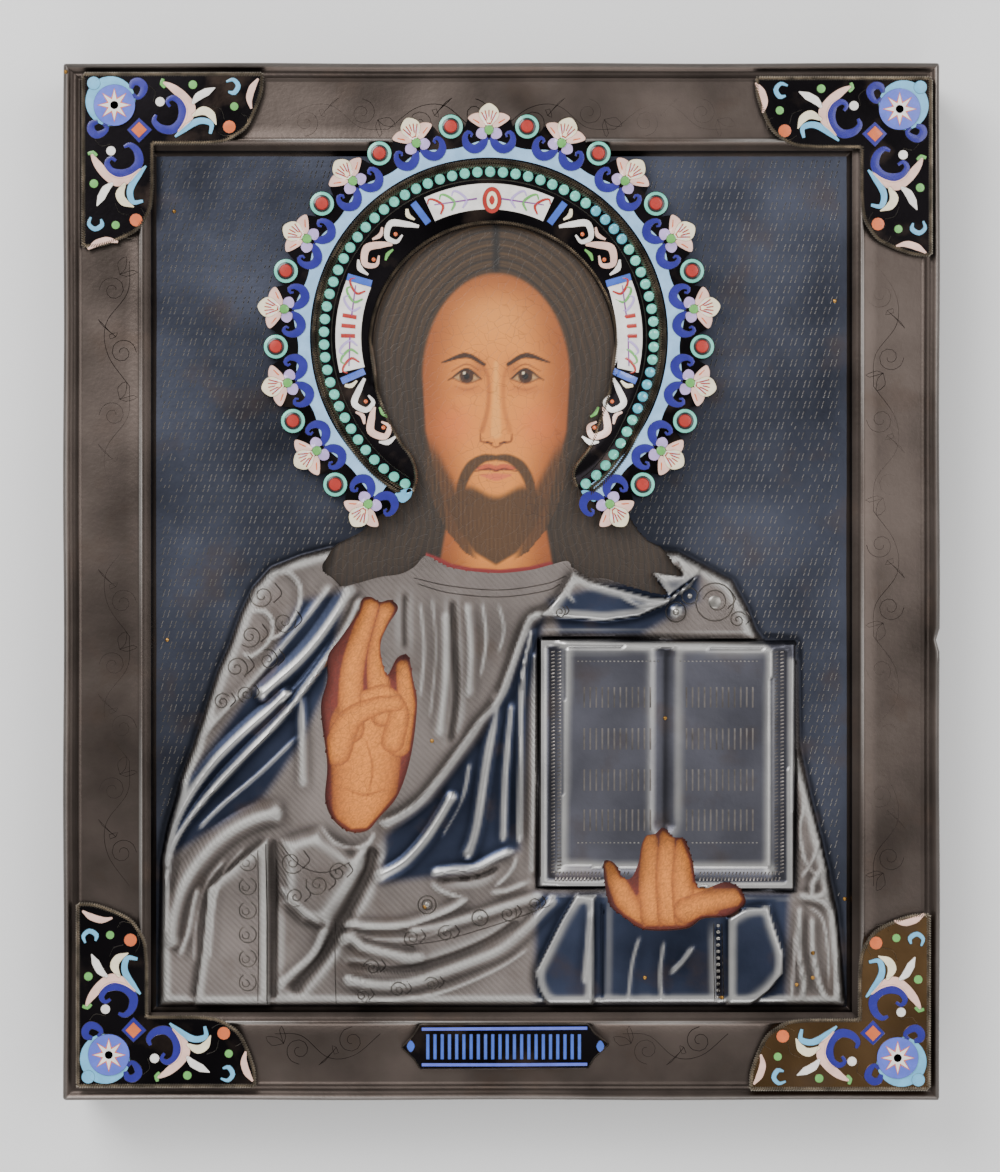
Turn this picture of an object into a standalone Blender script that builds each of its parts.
"""Icon panel: a painted wood board under a relief metal cover with openings for the face and
hands, an enamelled halo applied over the cover, four enamelled corner plates and a name plate.

It lies on its back: +Z comes out of the front, +Y points to the top of the picture. Plans are
worked out in millimetres, and turned into metres when a mesh is made.
"""

import math

import bmesh
import bpy
import numpy as np
from mathutils import Vector, geometry

MM = 0.001

# Real sizes, in millimetres
PANEL_W, PANEL_H = 224.9, 266.0
CORNER_ROUND = 1.0
BOARD_T = 23.0
BOARD_BEVEL = 0.8
GAP = 0.3
SHEET = 0.7
SKIRT_FOOT = 1.5
FIELD_Z = BOARD_T + GAP + SHEET
BORDER_Z = 26.5
SEAT_Z = BORDER_Z + GAP
PLATE_T = 1.5
FIGURE_RISE = 2.0
FIGURE_EDGE = 2.2
BOOK_RISE = 4.6
HALO_SEAT_Z = FIELD_Z + GAP

# The reference picture's frame, where plans are read
PICTURE_CENTRE = (501.5, 581.5)
PICTURE_HEIGHT = 1039.0
PIXEL = PANEL_H / PICTURE_HEIGHT

# Border section: distance in from the panel's edge, height over the border's flat
BORDER_SECTION = (
    (0.0, -0.5),
    (0.8, 0.5),
    (2.8, -0.5),
    (4.3, 0.2),
    (4.8, 0.0),
    (19.8, 0.0),
    (22.4, -0.4),
    (24.0, FIELD_Z - BORDER_Z),
)

# Openings in the cover, in picture pixels
HALO_CENTRE = (489.0, 337.0)
FACE_CENTRE = (493.5, 345.0)
FACE_ARC_R = 133.0
FACE_ARC_END_DEG = 95.0
HAIR_RIGHT = (
    (622, 395), (614, 425), (607, 452), (612, 480), (622, 505), (635, 525), (645, 538), (662, 548),
    (672, 562), (682, 575), (668, 574), (653, 573), (660, 585), (667, 594), (655, 593), (632, 587),
    (607, 579), (590, 577), (574, 568), (567, 561),
)  # fmt: skip
NECK = ((550, 565), (530, 570), (500, 573), (470, 571), (450, 567), (438, 561), (425, 556))
HAIR_LEFT = (
    (414, 567), (400, 574), (380, 577), (358, 583), (342, 586), (333, 579), (322, 568), (327, 557),
    (335, 545), (350, 537), (364, 528), (373, 505), (379, 480), (380, 452), (372, 425), (365, 395),
)  # fmt: skip
RAISED_HAND = (
    (358, 612), (362, 599), (371, 597), (380, 602), (390, 600), (398, 608), (388, 625), (381, 641),
    (381, 656), (387, 675), (397, 658), (408, 656), (413, 680), (417, 705), (411, 755), (398, 795),
    (379, 818), (367, 831), (350, 832), (334, 821), (325, 800), (327, 765), (322, 725), (321, 703),
    (327, 680), (328, 656), (342, 636),
)  # fmt: skip
BOOK_HAND = (
    (603, 864), (610, 860), (617, 866), (622, 877), (631, 878), (638, 862), (641, 845), (646, 835),
    (655, 833), (663, 827), (672, 836), (684, 839), (692, 860), (699, 888), (724, 882), (738, 887),
    (746, 901), (740, 910), (728, 917), (703, 919), (686, 929), (645, 930), (624, 917), (609, 903),
)  # fmt: skip

FIGURE = (
    (330, 547), (300, 555), (270, 567), (252, 587), (240, 612), (228, 645), (216, 672), (205, 705),
    (192, 745), (178, 780), (166, 825), (159, 865), (158, 940), (158, 1008), (847, 1008),
    (843, 960), (838, 910), (829, 868), (820, 830), (810, 790), (801, 745), (799, 660), (772, 650),
    (757, 630), (748, 607), (733, 580), (705, 565), (677, 551), (560, 540), (430, 540),
)  # fmt: skip

# Layers that stand proud of what is under them: rise, width of the rounded edge, outline
LAYERS = {
    "collar piece": (
        1.3,
        0.9,
        (
            (573, 571), (590, 580), (620, 588), (650, 596), (668, 598), (702, 572), (690, 588),
            (665, 606), (640, 617), (605, 622), (570, 619), (533, 617), (547, 608), (560, 592),
        ),
    ),
    "collar end": (0.8, 0.8, ((675, 551), (703, 566), (700, 574), (668, 598), (653, 571), (682, 575))),
    "forearm sleeve": (
        1.6,
        4.0,
        (
            (278, 838), (300, 830), (319, 825), (352, 848), (375, 836), (371, 870), (350, 900),
            (330, 930), (300, 925), (278, 905),
        ),
    ),
    "hanging panel": (
        1.2,
        0.9,
        ((207, 888), (240, 860), (269, 836), (270, 1007), (193, 1007), (201, 950)),
    ),
    "left lobe": (
        1.2,
        0.9,
        (
            (576, 893), (560, 920), (545, 950), (534, 972), (538, 990), (548, 1007), (594, 1007),
            (596, 895),
        ),
    ),
    "rounded panel": (
        1.0,
        0.8,
        (
            (728, 918), (745, 908), (769, 905), (776, 928), (785, 955), (783, 975), (770, 991),
            (750, 1007), (727, 1007),
        ),
    ),
    "shoulder boss": (0.9, 2.2, ((668, 606), (676, 602), (685, 606), (685, 616), (676, 621), (668, 617))),
}  # fmt: skip

# Folds: height of the crest, reach to its left and right along the way, and its points.
# A negative height is a valley.
FOLDS = {
    "mantle edge": (
        0.5, 1.0, 2.5,
        ((333, 583), (312, 612), (285, 645), (250, 685), (215, 722), (196, 745)),
    ),
    "long crest, upper": (
        1.5, 2.5, 3.5,
        ((355, 584), (338, 612), (320, 638), (300, 661), (278, 681), (256, 700)),
    ),
    "long crest, middle": (
        1.3, 2.2, 3.0, ((292, 688), (270, 710), (245, 732), (215, 762), (190, 797), (170, 838), (163, 870)),
    ),
    "long crest, lower": (
        1.2, 1.2, 2.5,
        (
            (362, 596), (345, 632), (318, 672), (285, 715), (245, 757),
            (205, 800), (178, 838), (167, 875), (166, 940),
        ),
    ),
    "shoulder scroll, upper": (
        0.6, 1.0, 1.0,
        ((262, 578), (285, 571), (300, 587), (297, 612), (280, 635), (262, 641)),
    ),
    "shoulder scroll, lower": (
        0.6, 1.0, 1.0,
        ((250, 612), (264, 611), (273, 624), (268, 643), (250, 657), (240, 652)),
    ),
    "sleeve ridge": (
        1.6, 3.5, 4.0, ((285, 812), (255, 819), (225, 836), (198, 863), (182, 890), (173, 920), (171, 950)),
    ),
    "sleeve ridge return": (0.8, 1.2, 1.5, ((178, 958), (187, 935), (193, 905), (198, 885))),
    "upper arm fold": (0.7, 2.0, 2.0, ((300, 690), (302, 740), (303, 790))),
    "cuff roll": (0.6, 0.8, 1.2, ((319, 824), (335, 842), (353, 848), (368, 843), (375, 831))),
    "sleeve band": (0.5, 1.2, 1.2, ((278, 884), (300, 908), (324, 927))),
    "sleeve hem": (0.7, 1.5, 2.0, ((327, 925), (315, 955), (292, 975), (276, 990))),
    "behind the sleeve": (-1.4, 3.0, 3.0, ((374, 845), (364, 880), (346, 915), (322, 955), (290, 995))),
    "panel side": (-0.9, 1.0, 1.2, ((274, 838), (275, 900), (274, 1004))),
    "throat groove": (-0.5, 1.2, 1.2, ((405, 590), (404, 620), (405, 652))),
    "chest groove": (-0.7, 1.4, 1.4, ((452, 598), (455, 650), (456, 700), (450, 745))),
    "chest fold, left": (0.5, 1.5, 2.5, ((446, 610), (445, 680), (439, 740))),
    "chest fold, right": (0.5, 2.5, 1.2, ((466, 600), (470, 650), (468, 700))),
    "mantle hem": (
        1.4, 3.0, 0.9,
        (
            (545, 611), (530, 617), (520, 640), (510, 668), (497, 700), (480, 720), (462, 745), (440, 775),
            (418, 801), (397, 816), (378, 824),
        ),
    ),
    "second hem crest": (
        1.1, 3.0, 2.0,
        ((455, 790), (441, 815), (425, 839), (405, 861), (385, 873), (372, 878)),
    ),
    "mantle fold": (0.9, 2.5, 2.5, ((500, 690), (487, 760), (476, 830), (465, 862))),
    "mantle fold, inner": (0.6, 1.6, 1.6, ((512, 700), (505, 780), (503, 845))),
    "side fold, inner": (0.9, 1.5, 1.0, ((532, 625), (522, 680), (520, 760), (519, 845))),
    "side fold, outer": (0.8, 0.9, 1.2, ((535, 650), (534, 760), (533, 875))),
    "fold lip": (1.0, 2.5, 0.8, ((429, 876), (450, 872), (477, 869), (497, 859), (516, 851))),
    "fold mouth": (-1.0, 1.0, 1.0, ((436, 881), (458, 880), (482, 876), (500, 867))),
    "fold lower lip": (0.7, 0.8, 1.0, ((430, 880), (438, 889), (452, 895), (466, 898))),
    "loop": (0.7, 1.0, 0.8, ((517, 854), (513, 868), (503, 880), (493, 888))),
    "loop hem": (0.6, 1.5, 0.8, ((488, 893), (505, 892), (530, 882))),
    "upper hem": (0.9, 2.5, 0.8, ((338, 925), (370, 928), (402, 927), (430, 919), (452, 910), (470, 898))),
    "brocade roll": (1.0, 2.0, 2.0, ((405, 932), (440, 926), (480, 915), (520, 902), (545, 895))),
    "lower crest": (
        1.2, 2.0, 2.5,
        ((337, 940), (352, 938), (362, 946), (388, 953), (412, 958), (426, 955)),
    ),
    "lower valley": (-0.8, 1.5, 1.5, ((345, 965), (400, 970), (450, 957), (490, 940), (520, 920))),
    "lowest crest": (
        1.3, 1.8, 3.0,
        (
            (341, 978), (378, 984), (410, 982), (440, 973), (470, 962),
            (500, 949), (525, 929), (545, 908), (556, 895),
        ),
    ),
    "lobe ridge": (0.5, 1.5, 1.5, ((592, 908), (588, 945), (584, 985))),
    "pleat": (-0.7, 1.0, 1.0, ((603, 900), (602, 1004))),
    "knee fold": (0.4, 1.0, 1.5, ((695, 945), (682, 963), (668, 976))),
    "button groove": (-0.8, 1.1, 1.1, ((718, 925), (720, 1004))),
    "right sleeve seam": (0.8, 1.2, 1.2, ((803, 780), (812, 815), (822, 850), (828, 880))),
    "right sleeve, 1": (0.9, 1.5, 1.2, ((822, 868), (812, 885), (812, 896), (832, 893))),
    "right sleeve, 2": (0.9, 1.5, 1.5, ((797, 895), (815, 899), (831, 908), (837, 935), (839, 1000))),
    "right sleeve, 3": (0.9, 1.2, 1.2, ((800, 905), (799, 950), (804, 985), (801, 1003))),
    "right sleeve, 4": (0.8, 1.2, 1.2, ((812, 915), (813, 950), (820, 985), (828, 1003))),
}  # fmt: skip

# The open book: page block, its edges and the cover boards, in picture pixels
BOOK_COVER = ((538, 637), (797, 641), (796, 892), (537, 888))
BOOK_PAGES = ((566, 647), (771, 650), (769, 868), (561, 866))
BOOK_GUTTER = ((665, 650), (664, 822))

# Halo: section as distance from its centre in pixels, and height of its face
HALO_FACE_R = 121.0
HALO_SECTION = (
    (121, 25.2),
    (124, 26.0),
    (127, 25.3),
    (157, 26.9),
    (165, 26.6),
    (169, 27.2),
    (173, 28.2),
    (178, 27.6),
)
HALO_INNER_RINGS = (124.0, 127.0)
HALO_RINGS = (157.0, 165.0, 173.0, 178.0)
HALO_RINGS_DEG = 150.0
HALO_OUTER_Z = 27.8
HALO_STEP_R = (160.0, 176.0)
HALO_SECTORS = 15
HALO_PITCH_DEG = 20.6
HALO_HALF_DEG = 146.5
FLOWER = {
    "heart at": 207.0,
    "heart r": 9.0,
    "rise": 0.5,
    "lobe r": 10.0,
    "lobe at": 223.0,
    "petal tip": (218.0, 5.6),
    "petal foot": (207.0, 7.0),
}
DISC = {"r": 12.5, "at": 213.0, "rise": 0.6}
# Degrees from a flower's middle where the outline has a point: disc, petal foot and tip, lobe
SECTOR_SAMPLES = (-10.3, -8.6, -7.2, -6.5, -5.6, -2.6, -1.3, 0.0, 1.3, 2.6, 5.6, 6.5, 7.2, 8.6)
HALO_LEFT_END = (
    (373.5, 365), (376.4, 389), (381, 404), (387, 418), (400, 442), (411, 457), (416, 475), (413, 493),
    (405, 500), (382, 514),
)  # fmt: skip
HALO_RIGHT_END = (
    (613.5, 365), (610.5, 389), (606, 405), (600, 422), (591, 446), (577, 465), (574, 475), (577, 487),
    (590, 498), (604, 518),
)  # fmt: skip

# Corner plates: outer corner, inner corner, arm lengths along X and Y, all in pixels
CORNER_ARM_W = 68.7
CORNER_PLATES = {
    "corner_plate_top_left": ((84, 75), (1, 1), 179, 172),
    "corner_plate_top_right": ((930, 79), (-1, 1), 174, 177),
    "corner_plate_bottom_left": ((78.5, 1085), (1, -1), 177, 182),
    "corner_plate_bottom_right": ((928, 1088), (-1, -1), 178, 174),
}
CORNER_TIP = ((0, 0), (-2, 20), (-14, 49), (-26, 60), (-39, 66.5), (-60, 68.7))
STAR_AT, STAR_R, STAR_RISE = 31.5, 20.7, 0.5
RIM_W, RIM_RISE = 0.9, 0.4

NAME_PLATE = (
    (420.4, 1023.4), (588, 1023), (594, 1032), (609.3, 1043), (594, 1057), (588, 1067),
    (420.4, 1068), (414, 1058), (401.7, 1046.5), (414, 1034),
)  # fmt: skip

COLOURS = {
    "wood_panel": ((0.20, 0.11, 0.055), 0.0, 0.65),
    "cover": ((0.13, 0.12, 0.12), 1.0, 0.38),
    "halo": ((0.25, 0.35, 0.45), 0.2, 0.25),
    "corner_plate": ((0.06, 0.06, 0.09), 0.3, 0.3),
    "name_plate": ((0.05, 0.05, 0.2), 0.3, 0.3),
}


def on_plan(points):
    """Picture pixels to millimetres on the panel, +Y up."""
    points = np.asarray(points, float).reshape(-1, 2)
    return np.column_stack(
        [(points[:, 0] - PICTURE_CENTRE[0]) * PIXEL, (PICTURE_CENTRE[1] - points[:, 1]) * PIXEL]
    )


def smooth(t):
    t = np.clip(t, 0.0, 1.0)
    return t * t * (3 - 2 * t)


def curve(points, step):
    """Points about this far apart on a Catmull-Rom curve through the given ones."""
    points = np.asarray(points, float)
    padded = np.vstack([2 * points[0] - points[1], points, 2 * points[-1] - points[-2]])
    found = []
    for a, b, c, d in zip(padded, padded[1:], padded[2:], padded[3:]):
        count = max(1, round(float(np.linalg.norm(c - b)) / step))
        for t in np.arange(count)[:, None] / count:
            square = (2 * a - 5 * b + 4 * c - d) * t**2
            cube = (3 * b - a - 3 * c + d) * t**3
            found.append(0.5 * (2 * b + (c - a) * t + square + cube))
    return np.vstack([*found, points[-1]])


def to_line(x, y, line):
    """Distance to a polyline, positive on its left, and how far along it the nearest point is."""
    best = np.full(np.shape(x), 1e9)
    side = np.ones_like(best)
    along = np.zeros_like(best)
    start = 0.0
    for a, b in zip(line, line[1:]):
        way = b - a
        length = max(float(np.hypot(*way)), 1e-9)
        t = np.clip(((x - a[0]) * way[0] + (y - a[1]) * way[1]) / length**2, 0, 1)
        dx, dy = x - a[0] - t * way[0], y - a[1] - t * way[1]
        distance = np.hypot(dx, dy)
        nearer = distance < best
        best = np.where(nearer, distance, best)
        side = np.where(nearer, np.where(way[0] * dy - way[1] * dx >= 0, 1.0, -1.0), side)
        along = np.where(nearer, start + t * length, along)
        start += length
    return best * side, along, start


def inside(x, y, loop):
    """Which points a closed outline holds."""
    found = np.zeros(np.shape(x), bool)
    for a, b in zip(loop, np.roll(loop, -1, axis=0)):
        crosses = (a[1] > y) != (b[1] > y)
        rise = b[1] - a[1] if b[1] != a[1] else 1e-12
        found ^= crosses & (x < (b[0] - a[0]) * (y - a[1]) / rise + a[0])
    return found


def depth_in(x, y, loop):
    """Distance in from a closed outline, negative outside it."""
    distance, _, _ = to_line(x, y, np.vstack([loop, loop[:1]]))
    return np.where(inside(x, y, loop), np.abs(distance), -np.abs(distance))


def fold_height(x, y, height, left, right, line):
    """One fold's height: full on its crest, nothing past its reach, and tapered at both ends."""
    side, along, length = to_line(x, y, line)
    reach = np.where(side > 0, left, right)
    u = np.clip(np.abs(side) / reach, 0, 1)
    taper = min(3.0, length / 3)
    ends = smooth((along + 0.4) / taper) * smooth((length - along + 0.4) / taper)
    return abs(height) * (1 - u) ** 1.6 * (1 + 0.6 * u) * ends


def book_height(x, y):
    """The open book's height over the field, and how much of the point is book."""
    cover, pages = on_plan(BOOK_COVER), on_plan(BOOK_PAGES)
    in_cover, in_pages = depth_in(x, y, cover), depth_in(x, y, pages)
    gutter, _, _ = to_line(x, y, on_plan(BOOK_GUTTER))
    rim = 3.2 * smooth(in_cover / 0.8)
    groove = np.where(in_cover > 2.2, -0.4, 0.0)
    slope = (BOOK_RISE - 3.2) * smooth((in_pages + 3.6) / 3.8)
    page_valley = 1.1 * smooth(1 - np.abs(gutter) / 4.0)
    top = rim + groove * (in_pages < 0) + slope - page_valley * (in_pages > 0)
    return top, smooth((in_cover + 0.3) / 0.6)


def figure_height(x, y):
    """The relief figure's height over the field."""
    mass = FIGURE_RISE * smooth((depth_in(x, y, on_plan(FIGURE)) + 0.2) / FIGURE_EDGE)
    layers = np.zeros_like(mass)
    for rise, edge, outline in LAYERS.values():
        layers += rise * smooth((depth_in(x, y, on_plan(outline)) + 0.1) / edge)
    crests = np.zeros_like(mass)
    valleys = np.zeros_like(mass)
    for height, left, right, points in FOLDS.values():
        part = fold_height(x, y, height, left, right, curve(on_plan(points), 2.0))
        if height > 0:
            crests += part**4
        else:
            valleys += part**4
    cloth = mass + layers + (crests**0.25 - valleys**0.25) * smooth(mass / 0.8)
    book, is_book = book_height(x, y)
    return np.maximum(cloth, 0.0) * (1 - is_book) + book * is_book


def border_height(x, y):
    """Height of the moulded border, down to the field."""
    edge = np.minimum(PANEL_W / 2 - np.abs(x), PANEL_H / 2 - np.abs(y))
    distances, heights = zip(*BORDER_SECTION)
    return BORDER_Z + np.interp(edge, distances, heights)


def cover_top(x, y):
    return border_height(x, y) + figure_height(x, y) * (border_height(x, y) < FIELD_Z + 0.05)


def rounded_rectangle(width, height, radius, corner_points=3):
    """Outline of a rectangle with round corners, counter-clockwise."""
    found = []
    for k, (sx, sy) in enumerate(((1, 1), (-1, 1), (-1, -1), (1, -1))):
        for i in range(corner_points):
            angle = math.radians(90 * k + 90 * i / (corner_points - 1))
            found.append(
                (
                    sx * (width / 2 - radius) + radius * math.cos(angle),
                    sy * (height / 2 - radius) + radius * math.sin(angle),
                )
            )
    return np.array(found)


def arc(centre, radius, start_deg, end_deg, count):
    """Points on an arc in picture pixels; degrees run clockwise from straight up."""
    angles = np.radians(np.linspace(start_deg, end_deg, count))
    return np.column_stack([centre[0] + radius * np.sin(angles), centre[1] - radius * np.cos(angles)])


def face_opening():
    upper = arc(FACE_CENTRE, FACE_ARC_R, -FACE_ARC_END_DEG, FACE_ARC_END_DEG, 22)
    return on_plan(np.vstack([upper, HAIR_RIGHT, NECK, HAIR_LEFT]))


def resample(loop, step):
    """A closed outline with no side longer than this."""
    found = []
    for a, b in zip(loop, np.roll(loop, -1, axis=0)):
        count = max(1, math.ceil(float(np.hypot(*(b - a))) / step))
        found.extend(a + (b - a) * i / count for i in range(count))
    return np.array(found)


def triangulate(loops, lines=(), points=(), clear=0.7):
    """Triangles between an outer loop and its holes, with edges along the given lines.

    What lies outside the loops, or closer to them than clear, is left out of the lines and points."""
    vertices = []
    edges = []
    for loop in loops:
        first = len(vertices)
        vertices += [tuple(p) for p in loop]
        edges += [(first + i, first + (i + 1) % len(loop)) for i in range(len(loop))]

    def free(xy):
        kept = depth_in(xy[:, 0], xy[:, 1], loops[0]) > clear
        for hole in loops[1:]:
            kept &= depth_in(xy[:, 0], xy[:, 1], hole) < -clear
        return kept

    for line in lines:
        kept = free(line)
        between = free((line[:-1] + line[1:]) / 2)
        for i, p in enumerate(line):
            if kept[i]:
                vertices.append(tuple(p))
                if i and kept[i - 1] and between[i - 1]:
                    edges.append((len(vertices) - 2, len(vertices) - 1))
    if len(points):
        vertices += [tuple(p) for p in points[free(points)]]
    found = geometry.delaunay_2d_cdt([Vector(p) for p in vertices], edges, [], 0, 1e-4, False)
    xy = np.array([tuple(p) for p in found[0]])
    triangles = np.array([tuple(f) for f in found[2]])
    centres = xy[triangles].mean(axis=1)
    kept = inside(centres[:, 0], centres[:, 1], loops[0])
    for hole in loops[1:]:
        kept &= ~inside(centres[:, 0], centres[:, 1], hole)
    return xy, triangles[kept]


def filler(loop, step, lines, clear):
    """A staggered grid inside an outline, away from the given lines."""
    low, high = loop.min(axis=0), loop.max(axis=0)
    found = []
    for row, y in enumerate(np.arange(low[1], high[1], step * 0.87)):
        for x in np.arange(low[0] + (row % 2) * step / 2, high[0], step):
            found.append((x, y))
    found = np.array(found)
    kept = inside(found[:, 0], found[:, 1], loop)
    for line in lines:
        distance, _, _ = to_line(found[:, 0], found[:, 1], line)
        kept &= np.abs(distance) > clear
    return found[kept]


def lofted(name, top, bottom, skirt=None):
    """A closed solid between two triangulated faces over the same loops.

    top and bottom are (loops, xy, triangles, heights). With skirt, the height of its foot, the
    bottom's outer loop lies inside the top's, and a rim joins them at the foot."""
    mesh = bmesh.new()

    def add_face(loops, xy, triangles, heights, flip):
        points = [mesh.verts.new((x * MM, y * MM, z * MM)) for (x, y), z in zip(xy, heights)]
        for a, b, c in triangles:
            order = (a, c, b) if flip else (a, b, c)
            mesh.faces.new([points[i] for i in order])
        rings = []
        for loop in loops:
            ring = [points[int(np.argmin(np.hypot(*(xy - p).T)))] for p in loop]
            rings.append(ring)
        return rings

    def add_wall(upper, lower):
        for i in range(len(upper)):
            j = (i + 1) % len(upper)
            mesh.faces.new((upper[i], upper[j], lower[j], lower[i]))

    above = add_face(*top, flip=False)
    below = add_face(*bottom, flip=True)
    if skirt is not None:
        outer_foot = [mesh.verts.new((v.co.x, v.co.y, skirt * MM)) for v in above[0]]
        inner_foot = [mesh.verts.new((v.co.x, v.co.y, skirt * MM)) for v in below[0]]
        add_wall(above[0], outer_foot)
        add_wall(outer_foot, inner_foot)
        add_wall(inner_foot, below[0])
    else:
        add_wall(above[0], below[0])
    for upper, lower in zip(above[1:], below[1:]):
        add_wall(upper, lower)
    bmesh.ops.recalc_face_normals(mesh, faces=mesh.faces)
    bmesh.ops.triangulate(mesh, faces=mesh.faces)
    data = bpy.data.meshes.new(name)
    mesh.to_mesh(data)
    mesh.free()
    return data


def material(name, colour, metallic, roughness):
    made = bpy.data.materials.new(name)
    made.use_nodes = True
    shader = made.node_tree.nodes["Principled BSDF"]
    shader.inputs["Base Color"].default_value = (*colour, 1.0)
    shader.inputs["Metallic"].default_value = metallic
    shader.inputs["Roughness"].default_value = roughness
    return made


def add_object(name, data, collection, made):
    data.materials.append(made)
    data.shade_smooth()
    data.set_sharp_from_angle(angle=math.radians(30))
    piece = bpy.data.objects.new(name, data)
    collection.objects.link(piece)
    return piece


def make_board(collection):
    """The lime-wood board, a plain bevelled block that the cover is nailed over."""
    margin = 2 * (SHEET + GAP)
    mesh = bmesh.new()
    bmesh.ops.create_cube(mesh, size=1.0)
    size = ((PANEL_W - margin) * MM, (PANEL_H - margin) * MM, BOARD_T * MM)
    bmesh.ops.scale(mesh, vec=size, verts=mesh.verts)
    bmesh.ops.translate(mesh, vec=(0, 0, BOARD_T * MM / 2), verts=mesh.verts)
    data = bpy.data.meshes.new("wood_panel")
    mesh.to_mesh(data)
    mesh.free()
    piece = add_object("wood_panel", data, collection, material("wood", *COLOURS["wood_panel"]))
    bevel = piece.modifiers.new("worn edges", "BEVEL")
    bevel.width = BOARD_BEVEL * MM
    bevel.segments = 1


def offset_lines(points, offsets, step):
    """The curve through the points, and curves beside it at the given distances."""
    line = curve(points, step)
    way = np.gradient(line, axis=0)
    normal = np.column_stack([-way[:, 1], way[:, 0]]) / np.maximum(np.hypot(*way.T), 1e-9)[:, None]
    return [line + normal * offset for offset in offsets]


def cover_lines():
    """Edges that the cover's face needs: mouldings, outlines of layers, crests and their feet."""
    lines = []
    for distance, _ in BORDER_SECTION[1:]:
        ring = rounded_rectangle(PANEL_W - 2 * distance, PANEL_H - 2 * distance, 0.2, 2)
        lines.append(np.vstack([ring, ring[:1]]))
    figure = on_plan(FIGURE)
    lines.append(resample(figure, 9.0))
    for rise, edge, outline in LAYERS.values():
        loop = resample(on_plan(outline), 6.0)
        lines.append(np.vstack([loop, loop[:1]]))
    for outline in (BOOK_COVER, BOOK_PAGES):
        loop = resample(on_plan(outline), 8.0)
        lines.append(np.vstack([loop, loop[:1]]))
    lines.append(resample(on_plan(BOOK_GUTTER), 9.0)[:-1])
    for height, left, right, points in FOLDS.values():
        step = 3.4
        lines += offset_lines(on_plan(points), (0.0, left * 0.9, -right * 0.9), step)
    return lines


def make_cover(collection):
    """The metal cover: border, field and relief figure in one sheet, with a skirt round the board."""
    outer = rounded_rectangle(PANEL_W, PANEL_H, CORNER_ROUND)
    inner = rounded_rectangle(PANEL_W - 2 * SHEET, PANEL_H - 2 * SHEET, CORNER_ROUND)
    holes = [face_opening(), on_plan(RAISED_HAND), on_plan(BOOK_HAND)]
    lines = cover_lines()
    figure = on_plan(FIGURE)
    xy, triangles = triangulate([outer, *holes], lines, filler(figure, 5.0, lines, 2.0))
    top = ([outer, *holes], xy, triangles, cover_top(xy[:, 0], xy[:, 1]))
    xy, triangles = triangulate([inner, *holes])
    bottom = ([inner, *holes], xy, triangles, np.full(len(xy), BOARD_T + GAP))
    data = lofted("cover", top, bottom, skirt=SKIRT_FOOT)
    add_object("cover", data, collection, material("patinated silver", *COLOURS["cover"]))


def circle_reach(angle_deg, at, radius):
    """How far out a circle at this distance reaches, along a ray this many degrees off it."""
    across = at * math.sin(math.radians(angle_deg))
    if abs(across) >= radius:
        return 0.0
    return at * math.cos(math.radians(angle_deg)) + math.sqrt(radius**2 - across**2)


def sector_reach(offset_deg):
    """The halo's outer edge within one sector, by the angle from its flower's middle."""
    away = abs(offset_deg)
    tip_r, tip_deg = FLOWER["petal tip"]
    foot_r, foot_deg = FLOWER["petal foot"]
    lobe = circle_reach(away, FLOWER["lobe at"], FLOWER["lobe r"])
    petal = float(np.interp(away, (0, 2.2, tip_deg, foot_deg), (0, 222, tip_r, foot_r)))
    disc = circle_reach(HALO_PITCH_DEG / 2 - away, DISC["at"], DISC["r"])
    return max(lobe, petal, disc, foot_r)


def halo_outline():
    """The halo's loop: scalloped outside, round inside, open below; in picture pixels."""
    outer = []
    for k in range(HALO_SECTORS):
        middle = (k - HALO_SECTORS // 2) * HALO_PITCH_DEG
        for offset in SECTOR_SAMPLES:
            if abs(middle + offset) > HALO_HALF_DEG:
                continue
            reach = sector_reach(offset)
            angle = math.radians(middle + offset)
            outer.append((HALO_CENTRE[0] + reach * math.sin(angle), HALO_CENTRE[1] - reach * math.cos(angle)))
    inner = arc(FACE_CENTRE, HALO_FACE_R, 92, -92, 22)
    return on_plan(np.vstack([outer, HALO_RIGHT_END[::-1], inner, HALO_LEFT_END]))


def halo_radius(x, y):
    centre = on_plan(HALO_CENTRE)[0]
    return np.hypot(x - centre[0], y - centre[1]) / PIXEL


def halo_top(x, y):
    """Height of the halo's face: a coved band, a rope moulding and a flat outer flange."""
    face_centre = on_plan(FACE_CENTRE)[0]
    radius = halo_radius(x, y)
    inner = np.hypot(x - face_centre[0], y - face_centre[1]) / PIXEL
    mix = smooth((radius - 130) / 25)
    radii, heights = zip(*HALO_SECTION, (182, HALO_OUTER_Z), (240, HALO_OUTER_Z))
    return np.interp(inner * (1 - mix) + radius * mix, radii, heights)


def halo_marks():
    """Rings where the halo's section turns, and a ring on each disc's dome."""
    lines = []
    for ring in HALO_INNER_RINGS:
        lines.append(on_plan(arc(FACE_CENTRE, ring, -128, 128, 30)))
    for ring in HALO_RINGS:
        lines.append(on_plan(arc(HALO_CENTRE, ring, -HALO_RINGS_DEG, HALO_RINGS_DEG, 42)))
    for k in range(HALO_SECTORS - 1):
        angle = (k - HALO_SECTORS // 2 + 0.5) * HALO_PITCH_DEG
        centre = arc(HALO_CENTRE, DISC["at"], angle, angle, 1)[0]
        lines.append(on_plan(arc(centre, DISC["r"] - 3.0, 0, 360, 9)))
    return lines


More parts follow.
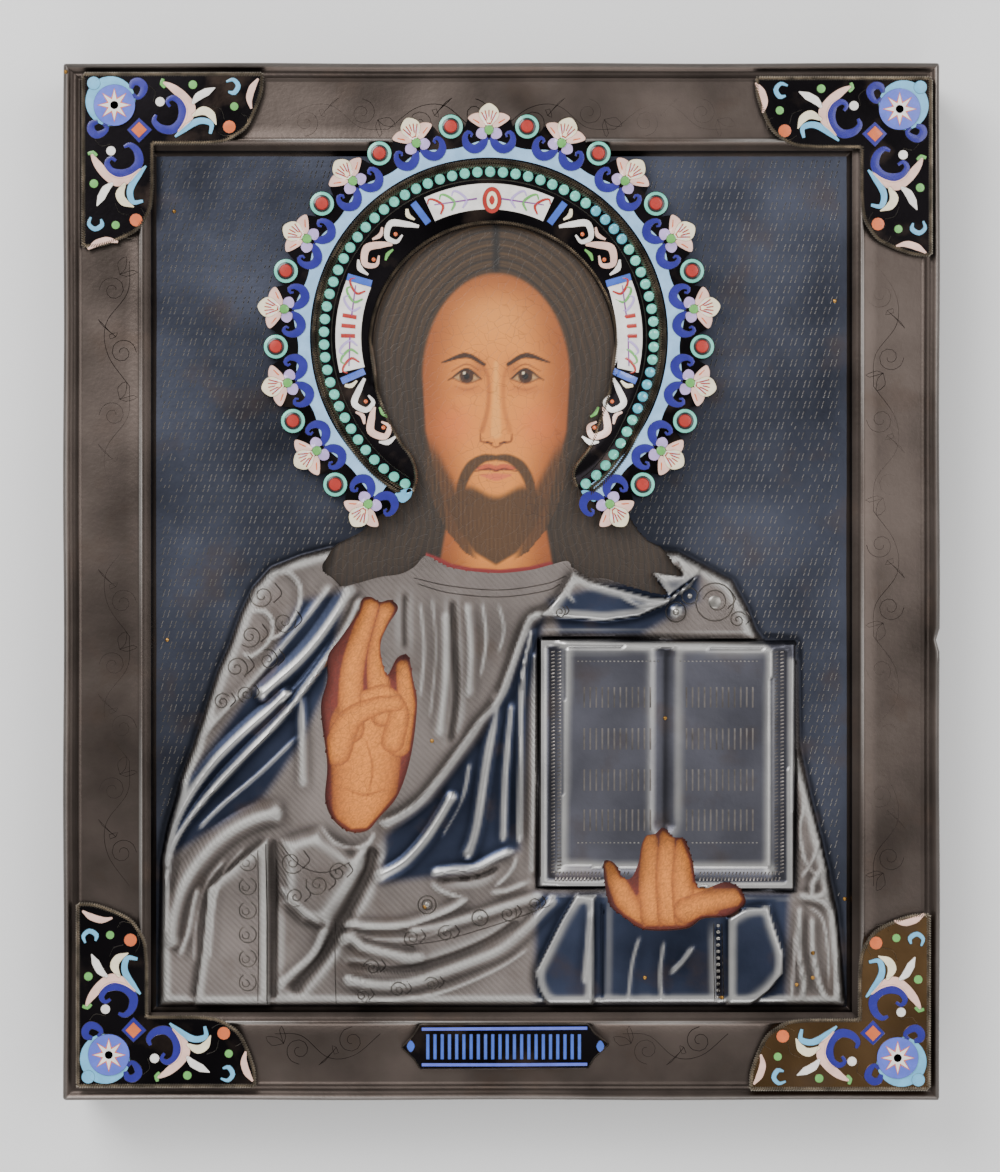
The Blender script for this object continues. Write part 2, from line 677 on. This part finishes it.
def halo_raised(x, y):
    """What the domed discs and the flowers' hearts add to the flange."""
    raised = np.zeros_like(x)
    for k in range(HALO_SECTORS):
        flower_deg = (k - HALO_SECTORS // 2) * HALO_PITCH_DEG
        for angle, at, reach, rise in (
            (flower_deg, FLOWER["heart at"], FLOWER["heart r"], FLOWER["rise"]),
            (flower_deg + HALO_PITCH_DEG / 2, DISC["at"], DISC["r"] - 1.0, DISC["rise"]),
        ):
            centre = on_plan(arc(HALO_CENTRE, at, angle, angle, 1))[0]
            distance = np.hypot(x - centre[0], y - centre[1]) / PIXEL
            raised = np.maximum(raised, rise * smooth(1.3 * (1 - distance / reach)))
    return raised


def make_halo(collection):
    """The enamelled halo, a plate that rests on the field inside and on the border above."""
    loop = halo_outline()
    lines = halo_marks()
    centres = []
    for k in range(2 * HALO_SECTORS - 1):
        angle = (k - HALO_SECTORS + 1) * HALO_PITCH_DEG / 2
        at = FLOWER["heart at"] if k % 2 == 0 else DISC["at"]
        centres.append(on_plan(arc(HALO_CENTRE, at, angle, angle, 1))[0])
    xy, triangles = triangulate([loop], lines, np.array(centres), clear=0.35)
    heights = halo_top(xy[:, 0], xy[:, 1]) + halo_raised(xy[:, 0], xy[:, 1])
    steps = [on_plan(arc(HALO_CENTRE, r, -HALO_RINGS_DEG, HALO_RINGS_DEG, 40)) for r in HALO_STEP_R]
    below_xy, below = triangulate([loop], steps, clear=0.35)
    under = HALO_SEAT_Z + (SEAT_Z - HALO_SEAT_Z) * smooth(
        (halo_radius(below_xy[:, 0], below_xy[:, 1]) - HALO_STEP_R[0]) / (HALO_STEP_R[1] - HALO_STEP_R[0])
    )
    data = lofted("halo", ([loop], xy, triangles, heights), ([loop], below_xy, below, under))
    add_object("halo", data, collection, material("enamelled silver", *COLOURS["halo"]))


def rimmed_plate(name, loop, collection, made, raised=None, marks=()):
    """A flat plate on the border with a raised wire rim along its outline."""
    way = np.roll(loop, -1, axis=0) - np.roll(loop, 1, axis=0)
    normal = np.column_stack([-way[:, 1], way[:, 0]]) / np.hypot(*way.T)[:, None]
    if (loop[:, 0] * np.roll(loop[:, 1], -1) - loop[:, 1] * np.roll(loop[:, 0], -1)).sum() < 0:
        normal = -normal
    lines = []
    for inset in (RIM_W / 2, RIM_W):
        ring = loop + normal * inset
        lines.append(np.vstack([ring, ring[:1]]))
    xy, triangles = triangulate([loop], [*lines, *marks], clear=0.2)
    depth = depth_in(xy[:, 0], xy[:, 1], loop)
    heights = SEAT_Z + PLATE_T + RIM_RISE * np.interp(depth, (0, RIM_W / 2, RIM_W), (0.4, 1, 0))
    if raised is not None:
        heights = heights + raised(xy[:, 0], xy[:, 1])
    below_xy, below = triangulate([loop])
    seat = np.full(len(below_xy), SEAT_Z)
    data = lofted(name, ([loop], xy, triangles, heights), ([loop], below_xy, below, seat))
    add_object(name, data, collection, made)


def make_corners(collection):
    """Four L-shaped enamelled plates over the border's corners."""
    made = material("corner enamel", *COLOURS["corner_plate"])
    for name, (corner, (sx, sy), arm_x, arm_y) in CORNER_PLATES.items():
        tips = np.array(CORNER_TIP)
        along_x = np.column_stack([arm_x + tips[:, 0], tips[:, 1]])
        along_y = np.column_stack([tips[::-1, 1], arm_y + tips[::-1, 0]])
        inner = np.array([(CORNER_ARM_W, CORNER_ARM_W)])
        plan = np.vstack([[(0, 0)], along_x, inner, along_y])
        loop = on_plan(plan * (sx, sy) + corner)
        star = on_plan(np.array([[STAR_AT, STAR_AT]]) * (sx, sy) + corner)[0]
        ring = on_plan(arc(np.array([STAR_AT, STAR_AT]) * (sx, sy) + corner, STAR_R, 0, 360, 13))
        crown = on_plan(arc(np.array([STAR_AT, STAR_AT]) * (sx, sy) + corner, STAR_R * 0.8, 0, 360, 13))

        def raised(x, y, star=star):
            distance = np.hypot(x - star[0], y - star[1]) / PIXEL
            return STAR_RISE * smooth((STAR_R - distance) / (0.2 * STAR_R))

        if sx * sy < 0:
            loop = loop[::-1]
        rimmed_plate(name, loop, collection, made, raised, (ring, crown))


def make_name_plate(collection):
    """The small pointed plate on the border below the figure."""
    loop = on_plan(NAME_PLATE)[::-1]
    rimmed_plate("name_plate", loop, collection, material("name enamel", *COLOURS["name_plate"]))


def main():
    for piece in list(bpy.data.objects):
        bpy.data.objects.remove(piece)
    collection = bpy.data.collections.new("icon_panel")
    bpy.context.scene.collection.children.link(collection)
    make_board(collection)
    make_cover(collection)
    make_halo(collection)
    make_corners(collection)
    make_name_plate(collection)


main()
